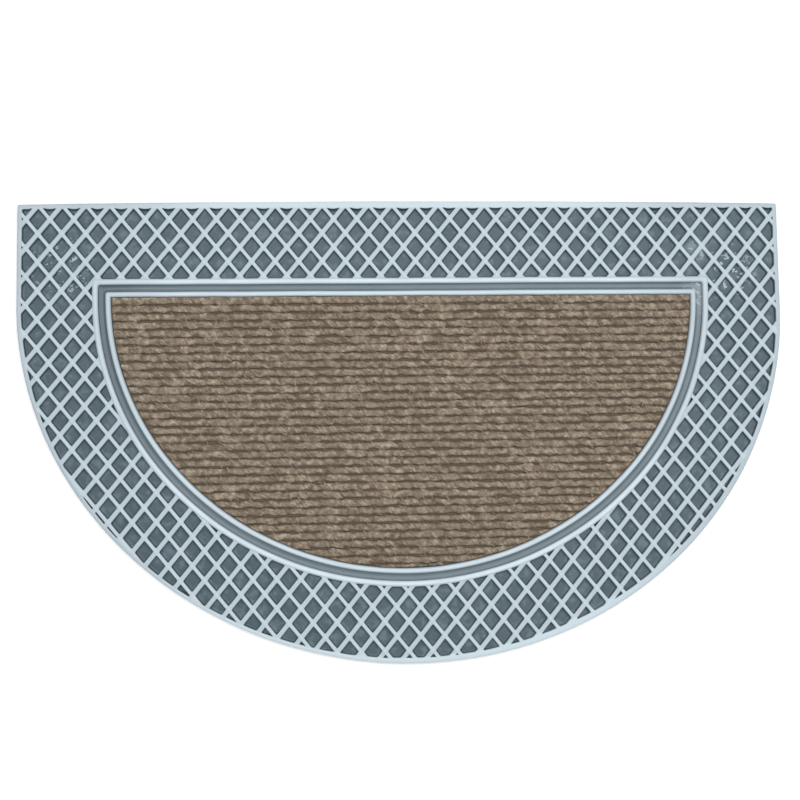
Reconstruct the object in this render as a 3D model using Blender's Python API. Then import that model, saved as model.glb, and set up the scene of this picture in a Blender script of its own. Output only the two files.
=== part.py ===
"""A half-round doormat: a moulded rubber base with a lattice border, and a ribbed carpet panel set into it.

Units are metres. X runs along the straight edge, +Y points at that edge, and the mat lies on Z = 0.
The origin is under the middle of the rectangle that the mat fits in.
"""

import math

import bmesh
import bpy
from mathutils import Vector
from mathutils.geometry import delaunay_2d_cdt

# The outline: a nearly straight edge, two short straight sides (left, right) and half an ellipse. As on the real
# mat, the edge is bowed outwards a little, and the ellipse's foot lies a little to the right of the middle
MAT_WIDTH = 0.750
MAT_DEPTH = 0.450
SIDE_LENGTHS = (0.098, 0.107)
EDGE_BOW = 0.0028
CURVE_LEAN = 0.0062
OUTLINE_STEPS = 72
EDGE_STEPS = 12

# Heights above the surface that the mat lies on
SHEET_TOP = 0.0025
CHANNEL_FLOOR = 0.0030
RIB_TOP = 0.0065
BEAD_TOP = 0.0075

# The rim round the whole mat: its width at the sides, at the middle of the straight edge and at the curve's foot
RIM_WIDTH = 0.0040
EDGE_RIM_WIDTH = 0.0063
FOOT_RIM_WIDTH = 0.0050
RIM_LEAN = 0.0030
RIM_CHAMFER = 0.0005

# The lattice: one family of ribs runs down to the right, the other down to the left
DIAMOND_WIDTH = 0.0229
DIAMOND_HEIGHT = 0.0280
FIRST_CROSSINGS = 0.0178
FALLING_RIB = 0.0034
RISING_RIB = 0.0043
CELL_DRAFT = 0.0004
SMALLEST_CELL_RADIUS = 0.0009
SHORTEST_CELL_EDGE = 0.0007
FLATTEST_CELL_CORNER = 0.0001

# The band round the carpet: a bead, a channel and a bead
BEAD_WIDTH = 0.0050
BEAD_ROUNDING = 0.0012
CHANNEL_WIDTH = 0.0070
BAND_WIDTH = 2 * BEAD_WIDTH + CHANNEL_WIDTH
BEAD_LAND = 0.0004

# The carpet panel: half an ellipse with rows of pile along X
CARPET_WIDTH = 0.5695
CARPET_DEPTH = 0.2653
CARPET_SETBACK = 0.0944
CARPET_GAP = 0.0003
ROW_PITCH = 0.0079
ROW_SHOULDERS = (0.30, 0.70)
PILE_TOP = 0.0080
PILE_VALLEY = 0.0058
ROW_COLUMNS = 22
TIP_TRIM = 0.0004

# Furrows stray and the pile's height varies in waves: (waves per metre in X, in Y, share of the size)
FURROW_STRAY = 0.0004
FURROW_WAVES = ((9.7, 30.2, 0.6), (22.8, -66.0, 0.4))
PILE_UNEVENNESS = 0.0002
PILE_WAVES = ((15.4, 52.5, 0.5), (33.6, -89.1, 0.5))

TOP_EDGE = MAT_DEPTH / 2
CARPET_EDGE = TOP_EDGE - CARPET_SETBACK
RIB_SPACING = DIAMOND_WIDTH * DIAMOND_HEIGHT / math.hypot(DIAMOND_WIDTH, DIAMOND_HEIGHT)

# Finishes: (name, colour, roughness)
SLATE_RUBBER = ("slate rubber", (0.105, 0.135, 0.160, 1.0), 0.45)
PALE_PAINT = ("pale paint", (0.600, 0.680, 0.730, 1.0), 0.55)
BROWN_PILE = ("brown pile", (0.235, 0.185, 0.135, 1.0), 0.95)
RUBBER_SHARP_ANGLE = math.radians(40)
PILE_SHARP_ANGLE = math.radians(60)

# What the plane is cut into along its outlines, and how near two points are when they are one
TRIANGLES_WITHIN = 1
WHOLE_FACES = 3
SAME_POINT = 1e-6


def dee(half_width, depth, sides, top, grow=0.0, bow=0.0, lean=0.0):
    """A D's outline, counter-clockwise from its top left corner, moved out by grow along its normals.

    Its two sides may differ in length. Its straight edge is bowed outwards by bow, and the foot of its curve is
    moved to the right by lean.
    """
    outline = [(-half_width - grow, top + grow - bow)]
    first = 0 if min(sides) > 0 else 1
    for step in range(first, OUTLINE_STEPS + 1 - first):
        angle = math.pi * (1 + step / OUTLINE_STEPS)
        side = sides[step > OUTLINE_STEPS / 2]
        curve_depth = depth - side
        across, along = curve_depth * math.cos(angle), half_width * math.sin(angle)
        share = grow / math.hypot(across, along)
        x = half_width * math.cos(angle) + share * across + lean * math.sin(angle) ** 2
        y = top - side + curve_depth * math.sin(angle) + share * along
        outline.append((x, y))
    outline.append((half_width + grow, top + grow - bow))
    for step in range(1, EDGE_STEPS if bow else 0):
        across = 1 - 2 * step / EDGE_STEPS
        outline.append((across * (half_width + grow), top + grow - bow * across**2))
    return outline


def mat_outline(grow=0.0):
    """The mat's own outline, or the same line moved outwards by grow."""
    return dee(MAT_WIDTH / 2, MAT_DEPTH, SIDE_LENGTHS, TOP_EDGE, grow, EDGE_BOW, CURVE_LEAN)


def rim_line():
    """The rim's inner edge, which is straight where the mat's own edge is bowed, and leans less."""
    depth = MAT_DEPTH - EDGE_RIM_WIDTH - FOOT_RIM_WIDTH
    sides = [side - EDGE_RIM_WIDTH for side in SIDE_LENGTHS]
    return dee(MAT_WIDTH / 2 - RIM_WIDTH, depth, sides, TOP_EDGE - EDGE_RIM_WIDTH, lean=RIM_LEAN)


def carpet_outline(grow=0.0):
    """The line that lies grow outside the carpet panel's edge."""
    return dee(CARPET_WIDTH / 2, CARPET_DEPTH, (0.0, 0.0), CARPET_EDGE, grow)


def lattice_point(falling, rising):
    """The place where the two ribs of these numbers cross; a whole number is a rib's middle line."""
    x = DIAMOND_WIDTH * (falling + rising) / 2
    y = TOP_EDGE - FIRST_CROSSINGS + DIAMOND_HEIGHT * (falling - rising) / 2
    return x, y


def diamonds():
    """The four corners of every diamond between the ribs, counter-clockwise, in and beyond the mat."""
    half_falling = FALLING_RIB / 2 / RIB_SPACING
    half_rising = RISING_RIB / 2 / RIB_SPACING
    across = MAT_WIDTH / 2 / DIAMOND_WIDTH
    down = MAT_DEPTH / DIAMOND_HEIGHT
    reach = math.ceil(across + down)
    found = []
    for falling in range(-reach, reach):
        for rising in range(-reach, reach):
            x, y = lattice_point(falling + 0.5, rising + 0.5)
            if abs(x) > MAT_WIDTH / 2 + DIAMOND_WIDTH or abs(y) > MAT_DEPTH / 2 + DIAMOND_HEIGHT:
                continue
            left, right = falling + half_falling, falling + 1 - half_falling
            low, high = rising + half_rising, rising + 1 - half_rising
            corners = ((left, low), (left, high), (right, high), (right, low))
            found.append([lattice_point(*corner) for corner in corners])
    return found


def divided(outlines, output_type):
    """The plane cut along closed outlines: its points, its faces, and the outlines round each face."""
    places, loops = [], []
    for outline in outlines:
        loops.append(list(range(len(places), len(places) + len(outline))))
        places += [Vector(place) for place in outline]
    points, _, faces, _, _, inside = delaunay_2d_cdt(places, [], loops, output_type, SAME_POINT / 10)
    return points, faces, [set(numbers) for numbers in inside]


def without_short_edges(loop):
    """A closed line in which corners that nearly meet are one, and corners that hardly turn are gone."""
    kept = []
    for point in loop:
        if kept and (point - kept[-1]).length < SHORTEST_CELL_EDGE:
            kept[-1] = (kept[-1] + point) / 2
        else:
            kept.append(point)
    if len(kept) > 1 and (kept[0] - kept[-1]).length < SHORTEST_CELL_EDGE:
        kept[0] = (kept[0] + kept.pop()) / 2
    turning = []
    for i, point in enumerate(kept):
        before, after = kept[i - 1], kept[(i + 1) % len(kept)]
        chord = after - before
        away = abs(chord.cross(point - before)) / max(chord.length, SHORTEST_CELL_EDGE)
        if away > FLATTEST_CELL_CORNER:
            turning.append(point)
    return turning


def loop_radius(loop):
    """Twice a closed line's area over its length: the radius of the circle in it, for a regular shape."""
    pairs = list(zip(loop, loop[1:] + loop[:1]))
    area = sum(a.cross(b) for a, b in pairs) / 2
    length = sum((b - a).length for a, b in pairs)
    return 2 * area / length


def cells():
    """The lattice's openings, cut off at the rim and the outer bead. Slivers stay solid rubber."""
    rim, bead = 0, 1
    outlines = [rim_line(), carpet_outline(BAND_WIDTH + BEAD_LAND)] + diamonds()
    points, faces, inside = divided(outlines, WHOLE_FACES)
    found = []
    for face, around in zip(faces, inside):
        if rim not in around or bead in around or len(around) < 2:
            continue
        loop = without_short_edges([points[i] for i in face])
        if len(loop) > 2 and loop_radius(loop) > SMALLEST_CELL_RADIUS:
            found.append(loop)
    return found


def add_loop(bm, outline, height):
    """New points of bm along a closed line at one height."""
    return [bm.verts.new((place[0], place[1], height)) for place in outline]


def bridge(bm, outer, inner, paint=0):
    """Quads between two counter-clockwise loops with as many points as each other, facing up."""
    for i, vert in enumerate(outer):
        j = (i + 1) % len(outer)
        bm.faces.new((vert, outer[j], inner[j], inner[i])).material_index = paint


def add_lattice_top(bm, openings):
    """The flat top that the rim and the ribs share, from the rim's chamfer to the outer bead."""
    outlines = [mat_outline(-RIM_CHAMFER), carpet_outline(BAND_WIDTH)] + openings
    points, faces, inside = divided(outlines, TRIANGLES_WITHIN)
    verts = add_loop(bm, points, RIB_TOP)
    for face, around in zip(faces, inside):
        if around == {0}:
            bm.faces.new([verts[i] for i in face]).material_index = 1


def add_pockets(bm, openings):
    """A blind pocket under each opening, its walls leaning in by the mould's draft."""
    mouths = [bm.faces.new(add_loop(bm, opening, RIB_TOP)) for opening in openings]
    bmesh.ops.inset_individual(bm, faces=mouths, thickness=CELL_DRAFT, use_even_offset=True)
    floor = {vert for mouth in mouths for vert in mouth.verts}
    for vert in floor:
        vert.co.z = SHEET_TOP


def bead_section(inner_side, outer_foot, inner_foot):
    """A bead's section from its outer foot to its inner one, as (distance outside the carpet, height)."""
    outer_side = inner_side + BEAD_WIDTH
    shoulder = BEAD_TOP - BEAD_ROUNDING / 2
    steep = BEAD_ROUNDING / 4
    return [
        (outer_side, outer_foot),
        (outer_side - steep, shoulder),
        (outer_side - BEAD_ROUNDING, BEAD_TOP),
        (inner_side + BEAD_ROUNDING, BEAD_TOP),
        (inner_side + steep, shoulder),
        (inner_side, inner_foot),
    ]


def add_band(bm):
    """The beads and the channel round the carpet, and the floor of the recess that the carpet lies in."""
    outer_bead = bead_section(BAND_WIDTH - BEAD_WIDTH, RIB_TOP, CHANNEL_FLOOR)
    inner_bead = bead_section(CARPET_GAP, CHANNEL_FLOOR, SHEET_TOP)
    section = outer_bead + inner_bead
    loops = [add_loop(bm, carpet_outline(grow), height) for grow, height in section]
    heights = [height for _, height in section]
    for i in range(len(loops) - 1):
        painted = min(heights[i], heights[i + 1]) > CHANNEL_FLOOR
        bridge(bm, loops[i], loops[i + 1], int(painted))
    bm.faces.new(loops[-1])


def add_edge_and_underside(bm):
    """The mat's chamfered outer wall and its flat underside."""
    chamfer = add_loop(bm, mat_outline(-RIM_CHAMFER), RIB_TOP)
    wall_top = add_loop(bm, mat_outline(), RIB_TOP - RIM_CHAMFER)
    wall_foot = add_loop(bm, mat_outline(), 0.0)
    bridge(bm, wall_top, chamfer, 1)
    bridge(bm, wall_foot, wall_top)
    bm.faces.new(reversed(wall_foot))


def material(name, colour, roughness):
    """A plain material of one colour."""
    finish = bpy.data.materials.new(name)
    finish.use_nodes = True
    shader = finish.node_tree.nodes["Principled BSDF"]
    shader.inputs["Base Color"].default_value = colour
    shader.inputs["Roughness"].default_value = roughness
    shader.inputs["Metallic"].default_value = 0.0
    finish.diffuse_color = colour
    return finish


def finished(bm, name, finishes, smooth_angle):
    """The object of this name, made from bm with meeting points merged and faces turned outwards."""
    bmesh.ops.remove_doubles(bm, verts=bm.verts, dist=SAME_POINT)
    bmesh.ops.recalc_face_normals(bm, faces=bm.faces)
    mesh = bpy.data.meshes.new(name)
    bm.to_mesh(mesh)
    bm.free()
    for finish in finishes:
        mesh.materials.append(material(*finish))
    mesh.shade_smooth()
    mesh.set_sharp_from_angle(angle=smooth_angle)
    thing = bpy.data.objects.new(name, mesh)
    bpy.context.scene.collection.objects.link(thing)
    return thing


def rubber_base():
    """The one-piece moulding: sheet, rim, lattice, beads, channel and the carpet's recess."""
    bm = bmesh.new()
    openings = cells()
    add_lattice_top(bm, openings)
    add_pockets(bm, openings)
    add_band(bm)
    add_edge_and_underside(bm)
    return finished(bm, "rubber_base", [SLATE_RUBBER, PALE_PAINT], RUBBER_SHARP_ANGLE)


def wavy(x, y, size, waves):
    """A sum of waves over the carpet, which never leaves the range from minus size to size."""
    height = 0.0
    for across, along, share in waves:
        height += share * math.sin(math.tau * (across * x + along * y))
    return size * height


def row_lines():
    """The carpet's lines along X, as (distance below its straight edge, height, whether it may stray)."""
    valley, crown = PILE_VALLEY, PILE_TOP - PILE_UNEVENNESS
    lines = []
    for row in range(int(CARPET_DEPTH / ROW_PITCH)):
        start = row * ROW_PITCH
        lines.append((start, valley, row > 0))
        lines += [(start + share * ROW_PITCH, crown, True) for share in ROW_SHOULDERS]
    tip = CARPET_DEPTH - TIP_TRIM
    last = lines[-1][0] + (1 - ROW_SHOULDERS[-1]) * ROW_PITCH
    lines.append((last, valley, True))
    lines.append(((last + tip) / 2, crown, False))
    lines.append((tip, valley, False))
    return lines


def carpet_insert():
    """The carpet panel, ribbed along X, with its straight edge on the object's own X axis."""
    bm = bmesh.new()
    underside = SHEET_TOP + CARPET_GAP
    grid = []
    for below, height, strays in row_lines():
        half = CARPET_WIDTH / 2 * math.sqrt(1 - (below / CARPET_DEPTH) ** 2)
        line = []
        for column in range(ROW_COLUMNS + 1):
            x = half * (2 * column / ROW_COLUMNS - 1)
            inner = strays and 0 < column < ROW_COLUMNS
            stray = wavy(x, below, FURROW_STRAY, FURROW_WAVES) if inner else 0.0
            rise = wavy(x, below, PILE_UNEVENNESS, PILE_WAVES) if inner else 0.0
            line.append(bm.verts.new((x, stray - below, height + rise - underside)))
        grid.append(line)
    for upper, lower in zip(grid, grid[1:]):
        for i in range(ROW_COLUMNS):
            bm.faces.new((lower[i], lower[i + 1], upper[i + 1], upper[i]))
    border = [line[0] for line in grid] + grid[-1][1:-1]
    border += [line[-1] for line in reversed(grid)] + list(reversed(grid[0][1:-1]))
    foot = [bm.verts.new((vert.co.x, vert.co.y, 0.0)) for vert in border]
    bridge(bm, foot, border)
    bm.faces.new(reversed(foot))
    panel = finished(bm, "carpet_insert", [BROWN_PILE], PILE_SHARP_ANGLE)
    panel.location = (0.0, CARPET_EDGE, underside)
    return panel


for old in list(bpy.data.objects):
    bpy.data.objects.remove(old)
rubber_base()
carpet_insert()
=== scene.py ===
import math
import random

import bmesh
import bpy
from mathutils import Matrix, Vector, noise
from mathutils.geometry import delaunay_2d_cdt


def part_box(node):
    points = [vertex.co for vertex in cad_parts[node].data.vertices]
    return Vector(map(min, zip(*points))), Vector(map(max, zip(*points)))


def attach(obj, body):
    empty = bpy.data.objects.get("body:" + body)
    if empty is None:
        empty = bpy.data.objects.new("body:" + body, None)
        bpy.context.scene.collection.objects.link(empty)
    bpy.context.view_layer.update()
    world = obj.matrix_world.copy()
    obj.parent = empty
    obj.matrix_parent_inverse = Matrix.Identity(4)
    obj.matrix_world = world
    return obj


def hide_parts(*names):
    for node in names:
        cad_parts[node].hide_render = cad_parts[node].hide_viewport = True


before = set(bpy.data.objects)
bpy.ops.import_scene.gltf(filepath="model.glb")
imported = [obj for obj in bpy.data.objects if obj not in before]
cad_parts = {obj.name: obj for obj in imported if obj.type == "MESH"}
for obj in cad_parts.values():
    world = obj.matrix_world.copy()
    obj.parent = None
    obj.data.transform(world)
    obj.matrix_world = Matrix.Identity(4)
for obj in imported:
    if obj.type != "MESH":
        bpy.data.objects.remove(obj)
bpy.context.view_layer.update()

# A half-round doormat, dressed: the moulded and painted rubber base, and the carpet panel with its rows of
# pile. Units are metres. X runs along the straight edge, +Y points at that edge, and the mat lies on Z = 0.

# The sizes that the frame gives
base_low, base_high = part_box("rubber_base")
panel_low, panel_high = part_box("carpet_insert")
HALF_WIDTH = (base_high[0] - base_low[0]) / 2
TOP_EDGE = base_high[1]
MAT_DEPTH = base_high[1] - base_low[1]
BEAD_TOP = base_high[2]
PANEL_HALF = (panel_high[0] - panel_low[0]) / 2
PANEL_EDGE = panel_high[1]
PANEL_DEPTH = panel_high[1] - panel_low[1]
PANEL_FOOT = panel_low[2]
PILE_TOP = panel_high[2]

# The outline: two straight sides (left, right), an edge that is bowed outwards a little, a curve whose foot
# lies a little to the right, and corners that are only just rounded
SIDE_LENGTHS = (0.098, 0.107)
EDGE_BOW = 0.0028
CURVE_LEAN = 0.0062
OUTLINE_STEPS = 150
TOP_STEPS = 60
CORNER_STEPS = 4
MAT_CORNER = 0.0016
BAND_CORNER = 0.0022
SMALLEST_CORNER = 0.00005

# How far the moulding's points stray, in waves how long, and the layers of noise that they follow
EDGE_WANDER = 0.00022
EDGE_WAVELENGTH = 0.045
SIDEWAYS_LAYER, ALONG_LAYER = 0.5, 5.5

# Heights above the floor
SHEET_TOP = 0.0025
CHANNEL_FLOOR = 0.0036
RIB_TOP = 0.0064
FALLING_CROWN = 0.00045
RISING_CROWN = 0.00015

# Where the ribs are crowned: past their own edges, past the rim's inner line and outside the outer bead, by
# these lengths; and how far past the rim's inner line their middles have points of their own
CROWN_SPREAD = 0.0002
CROWN_PAST_RIM = 0.0008
CROWN_FROM_BEAD = 0.00015
MIDDLES_PAST_RIM = 0.0005

# The rim: its width at the sides, at the straight edge and at the curve's foot, and how much it wanders
RIM_WIDTH = 0.0046
EDGE_RIM_WIDTH = 0.0067
FOOT_RIM_WIDTH = 0.0050
RIM_LEAN = 0.0030
RIM_WANDER = 0.0006
RIM_WAVES_A_METRE = 60
RIM_LAYER = 3.0

# Along the straight edge the rim bulges a little towards each crossing of the ribs
RIM_BULGE = 0.0009
RIM_LINE_STEPS = 260

# The outer edge, from the rim's flat top down to the floor: (how far outside the mat's outline, height)
EDGE_SECTION = (
    (-0.0022, RIB_TOP),
    (-0.0015, 0.0063),
    (-0.0009, 0.0060),
    (-0.0004, 0.0055),
    (-0.0001, 0.0048),
    (0.0, 0.0006),
    (-0.0005, 0.0),
)

# The lattice of ribs: one family falls to the right, the other rises to the right
DIAMOND_WIDTH = 0.0229
DIAMOND_HEIGHT = 0.0280
FIRST_CROSSINGS = 0.0178
FALLING_RIB = 0.0034
RISING_RIB = 0.0043
RIB_SPACING = DIAMOND_WIDTH * DIAMOND_HEIGHT / math.hypot(DIAMOND_WIDTH, DIAMOND_HEIGHT)

# The pockets between the ribs
SMALLEST_POCKET = 0.0006
SHORTEST_EDGE = 0.0006
FLATTEST_CORNER = 0.00003
SHARP_TURN = math.radians(18)
CORNER_CUT = 0.0011
CUT_SHARE = 0.4
MITRE_LIMIT = 0.35
POCKET_EDGE_STEP = 0.0062
FULL_POCKET = 0.0030

# A pocket's wall from its shoulder down to its floor: (how far in from the opening, height, and what
# that height is measured from)
FROM_TOP, FROM_SHEET = 0, 1
POCKET_WALL = (
    (-0.00045, 0.0, FROM_TOP),
    (-0.00012, -0.00012, FROM_TOP),
    (0.00008, -0.00050, FROM_TOP),
    (0.00032, 0.00110, FROM_SHEET),
    (0.00055, 0.00035, FROM_SHEET),
    (0.00110, 0.0, FROM_SHEET),
)
FLOOR_CROWN = 0.00012
FLOOR_RING = 0.45

# What a plane that is cut along lines comes back as, how near points count as one, and the sharpest turn that
# is shaded smooth
TRIANGLES, REGIONS = 1, 3
CUT_WITHIN = 1e-7
JOIN_WITHIN = 1e-6
CREASE = math.radians(50)

# The band round the panel: a bead, a channel and a bead
BEAD_WIDTH = 0.0050
INNER_BEAD_WIDTH = 0.0057
CHANNEL_WIDTH = 0.0070
PILE_OVERLAP = 0.0004
BAND_WIDTH = 2 * BEAD_WIDTH + CHANNEL_WIDTH
BEAD_LAND = 0.0007
BEAD_STEPS = 10
BEAD_SQUARENESS = 0.60
INNER_BEAD_DROP = 0.00025
CHANNEL_FILLET = 0.0004

# The panel's backing and its rows of pile
BACKING_TOP = 0.0047
ROW_PITCH = 0.0079
ROW_STEP = 0.00080
FEWEST_COLUMNS = 6
ROW_SECTION = (
    (0.00, 0.00),
    (0.05, 0.28),
    (0.13, 0.52),
    (0.24, 0.78),
    (0.37, 0.95),
    (0.50, 1.00),
    (0.63, 0.96),
    (0.76, 0.80),
    (0.87, 0.55),
    (0.95, 0.30),
    (1.00, 0.00),
)
FIRST_SHOULDER = 0.85
CROWN_LOW = 0.0058
ROWS_A_PIECE = (11, 11, 12)

# The rows stay clear of the beads by the inset, and come down over their last few columns
PILE_INSET = 0.0006
TIP_SHARE = 0.999
END_COLUMNS = 3
END_HEIGHT = 0.25

# The furrows between the rows: how wide, how they wander, and where the pile leans shut over them
FURROW_GAP = 0.0011
OPEN_WIDTH, SHUT_NARROWING = 1.3, 2.4
FURROW_WANDER = 0.0019
LONG_WAVE, LONG_SHARE = 0.050, 0.35
SHORT_WAVE, SHORT_SHARE = 0.0085, 0.65
CLOSING_WAVE, CLOSING_LONG_SHARE = 0.010, 0.5
CLOSING_FROM, CLOSING_SPAN = 0.17, 0.50
EDGE_CLOSING = 0.3

# The pile leans, so its tufts and strands run down to the right across each row
STRAND_SLANT = 0.85
STRAND_PITCH = 0.0022
STRAND_PHASE, STRAND_WAVE = 1.6, 0.006
COMBED_LENGTH = 0.020
TUFT_LENGTH = 0.0075
PATCH_LENGTH = 0.024

# The crown's height, from 0 to 1: its mean, and what tufts, patches and strands add to it
CROWN_MEAN = 0.60
TUFT_HEIGHT = 0.95
PATCH_HEIGHT = 0.35
STRAND_HEIGHT, STRAND_MEAN = 0.45, 0.6

# The pile's finest lumps, upwards and sideways: (layer of noise, height, length of wave)
FINE_LUMPS = (0.5, 0.0003, 0.0026)
SIDE_LUMPS = (7.5, 0.0007, 0.0034)

# Single fibres on the pile: (least, most), and their slant in degrees as (mean, spread)
LOOSE_FIBRES = 2600
FIBRE_SEED = 84
FIBRE_INSET = 0.0030
FIBRE_LENGTHS = (0.0022, 0.0055)
FIBRE_SLANT = (-44, 17)
FIBRE_BENDS = (-0.0004, 0.0004)
FIBRE_LIFTS = (-0.0004, 0.0002)
FIBRE_RADII = (0.00012, 0.00022)
THICK_FIBRES = 0.08
THICK_FIBRE = 2.2
FIBRE_SINK = 0.0002
FIBRE_ARCH = 0.0003
FIBRE_STEPS = 3
FIBRE_SIDES = 3

# The rubber's two tones, in the lattice and in the band round the carpet, and where painted glints, pale
# highlights of the glossy rubber, lie on the floors
LATTICE_SLATE = ((0.024, 0.051, 0.069, 1), (0.039, 0.071, 0.091, 1))
# The band's slate is lighter than the lattice's: partly its own tone, partly a painted sheen of the glossy
# channel
BAND_SLATE_AND_SHEEN = ((0.090, 0.124, 0.145, 1), (0.112, 0.148, 0.170, 1))
LATTICE_GLINTS = (
    ((-0.332, 0.160, 0.003), 0.040, 0.0),
    ((0.325, 0.153, 0.003), 0.036, 0.0),
    ((0.294, 0.177, 0.003), 0.014, 0.35),
)
BAND_GLINTS = (((0.303, 0.134, 0.004), 0.030, 0.25),)

# What is laid over the slate
SLATE_SPECKS = (0.085, 0.120, 0.140, 1)
SLATE_MOTTLE = (0.095, 0.138, 0.162, 1)
# Painted light: a lighter slate on the pockets' walls, against the shade down in them
LIT_WALL_SLATE = (0.075, 0.112, 0.132, 1)
# Painted shade: the slate's darker tone towards the left
SHADED_SLATE = (0.030, 0.052, 0.065, 1)
# Painted glint: the pale tone of the painted highlights on the glossy floors
GLINT_SLATE = (0.330, 0.400, 0.430, 1)

# The paint at its foot, on the ribs and on the beads, and what is laid over it
THIN_PAINT = (0.360, 0.424, 0.458, 1)
RIB_PAINT = (0.440, 0.510, 0.545, 1)
BEAD_PAINT = (0.545, 0.612, 0.652, 1)
WORN_PAINT = (0.430, 0.470, 0.520, 1)
PAINT_SPECKS = (0.250, 0.310, 0.350, 1)
# Painted shade: greyer paint towards both sides, where less light falls
SIDE_SHADE_PAINT = (0.310, 0.370, 0.405, 1)
# Painted highlight: the paler paint on the rim along the straight edge and round the curve's foot, where more
# light falls
RIM_HIGHLIGHT_PAINT = (0.465, 0.540, 0.580, 1)

# Heights at which the paint is full, and between which it starts on the rim, the walls are painted lighter
# against their shade, a painted light, and the paint turns paler
PAINT_FULL = 0.0063
# On the rim's painted highlight the paint starts lower, between these heights
HIGHLIT_RIM_STARTS = (0.0036, 0.0052)
WALL_STARTS, WALL_ENDS = (0.0027, 0.0036), (0.0052, 0.0058)
RIB_PAINT_STARTS, BEAD_PAINT_STARTS = (0.0064, 0.0068), (0.0068, 0.0075)
PAINT_RAG = 0.0005

# Places along X between which the slate darkens to the left, a painted shade, the paint greys towards both
# sides, a painted shade, and the rim's painted highlight fades towards both sides
SHADE_STARTS = (-0.31, -0.22)
SIDE_STARTS = (0.20, 0.30)
RIM_HIGHLIGHT_ENDS = (0.16, 0.31)

# Where the rim's painted highlight starts: metres before and past its inner line at the straight edge, and
# shares of the mat's half width and depth at the foot
EDGE_HIGHLIGHT_STARTS = (0.0008, 0.0004)
FOOT_HIGHLIGHT_STARTS = (0.980, 0.986)

# Patterns on the rubber and in the pile: (size, contrast), and how the strands of the yarns lie
RAGGED_EDGE = (0.0022, 1.4)
PAINT_PATCHES = (0.030, 2.2)
SPECKS = (0.0012, 2.5)
FLOOR_MOTTLE = (0.0085, 2.4)
# The streaks of the painted glints
GLINT_MARKS = (0.0044, 4.0)
PILE_TUFTS = (0.0050, 2.1)
WIDE_PATCHES = (0.035, 1.6)
PILE_YARN = {"Slant": math.radians(42), "Width": 0.0014, "Length": 0.0050, "Contrast": 2.8}
FLAT_YARN = {"Slant": 0.0, "Width": 0.0009, "Length": 0.0060, "Contrast": 2.0}

# The pile's dark, middle and light yarn, its wide patches and the painted shade in its furrows; then two
# tones for each plain yarn
DARK_PILE = (0.117, 0.089, 0.061, 1)
MIDDLE_PILE = (0.236, 0.187, 0.139, 1)
LIGHT_PILE = (0.418, 0.350, 0.271, 1)
PATCH_PILE = (0.185, 0.148, 0.108, 1)
FURROW_SHADE = (0.082, 0.058, 0.036, 1)
FURROW_SHADE_HEIGHTS = (0.0048, 0.0069)
BACKING_TONES = ((0.075, 0.055, 0.036, 1), (0.125, 0.095, 0.065, 1))
FIBRE_TONES = ((0.300, 0.240, 0.170, 1), (0.520, 0.440, 0.345, 1))

# The studio: its floor, its lamps as (name, place, width, height, watts), and the camera over the mat
FLOOR_REACH = 6.0
FLOOR_DROP = 0.0002
SKY = (0.95, 0.98, 1.0, 1)
SKY_STRENGTH = 0.80
LAMPS = (
    ("overhead", (0.25, 0.35, 2.2), 2.3, 2.0, 31),
    ("left softbox", (-0.82, 0.50, 1.5), 0.30, 0.30, 1.5),
    ("right softbox", (0.88, 0.48, 1.5), 0.30, 0.30, 1.5),
)
CAMERA_LENS, CAMERA_SENSOR = 46.08, 36.0
CAMERA_PLACE = (-0.05065, TOP_EDGE - 0.26447, 1.0)
CAMERA_TURN = (0.0683, -0.04435, -0.01337)


def dee(half_width, depth, sides, top, corner, grow=0.0, bow=0.0, lean=0.0, top_steps=TOP_STEPS):
    """A D's outline moved out by grow, counter-clockwise from the right end of its straight edge.

    Its two sides may differ in length. Its straight edge is bowed outwards by bow, and the foot of its curve
    is moved to the right by lean.
    """
    radius = max(min(corner, grow + min(sides)), SMALLEST_CORNER)
    right, high = half_width + grow, top + grow - bow
    outline = []
    for step in range(top_steps + 1):
        across = 1 - 2 * step / top_steps
        outline.append(((right - radius) * across, high + bow * (1 - across**2)))
    for step in range(1, CORNER_STEPS + 1):
        angle = math.pi / 2 * (1 + step / CORNER_STEPS)
        x = radius - right + radius * math.cos(angle)
        outline.append((x, high - radius + radius * math.sin(angle)))
    for step in range(OUTLINE_STEPS + 1):
        angle = math.pi * (1 + step / OUTLINE_STEPS)
        side = sides[step > OUTLINE_STEPS / 2]
        curve_depth = depth - side
        across, along = curve_depth * math.cos(angle), half_width * math.sin(angle)
        share = grow / math.hypot(across, along)
        x = half_width * math.cos(angle) + share * across + lean * math.sin(angle) ** 2
        y = top - side + curve_depth * math.sin(angle) + share * along
        outline.append((x, min(y, high - radius - SHORTEST_EDGE / 4)))
    for step in range(CORNER_STEPS):
        angle = math.pi / 2 * step / CORNER_STEPS
        x = right - radius + radius * math.cos(angle)
        outline.append((x, high - radius + radius * math.sin(angle)))
    return outline


def mat_outline(grow=0.0):
    """The mat's own outline, or the same line moved outwards by grow."""
    return dee(HALF_WIDTH, MAT_DEPTH, SIDE_LENGTHS, TOP_EDGE, MAT_CORNER, grow, EDGE_BOW, CURVE_LEAN)


def panel_outline(grow=0.0):
    """The line that lies grow outside the carpet panel's edge."""
    return dee(PANEL_HALF, PANEL_DEPTH, (0.0, 0.0), PANEL_EDGE, BAND_CORNER, grow)


def rim_sizes():
    """The D of the rim's inner edge, which leans less than the mat's own outline."""
    sides = [side - EDGE_RIM_WIDTH for side in SIDE_LENGTHS]
    depth = MAT_DEPTH - EDGE_RIM_WIDTH - FOOT_RIM_WIDTH
    return HALF_WIDTH - RIM_WIDTH, depth, sides, TOP_EDGE - EDGE_RIM_WIDTH


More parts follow.
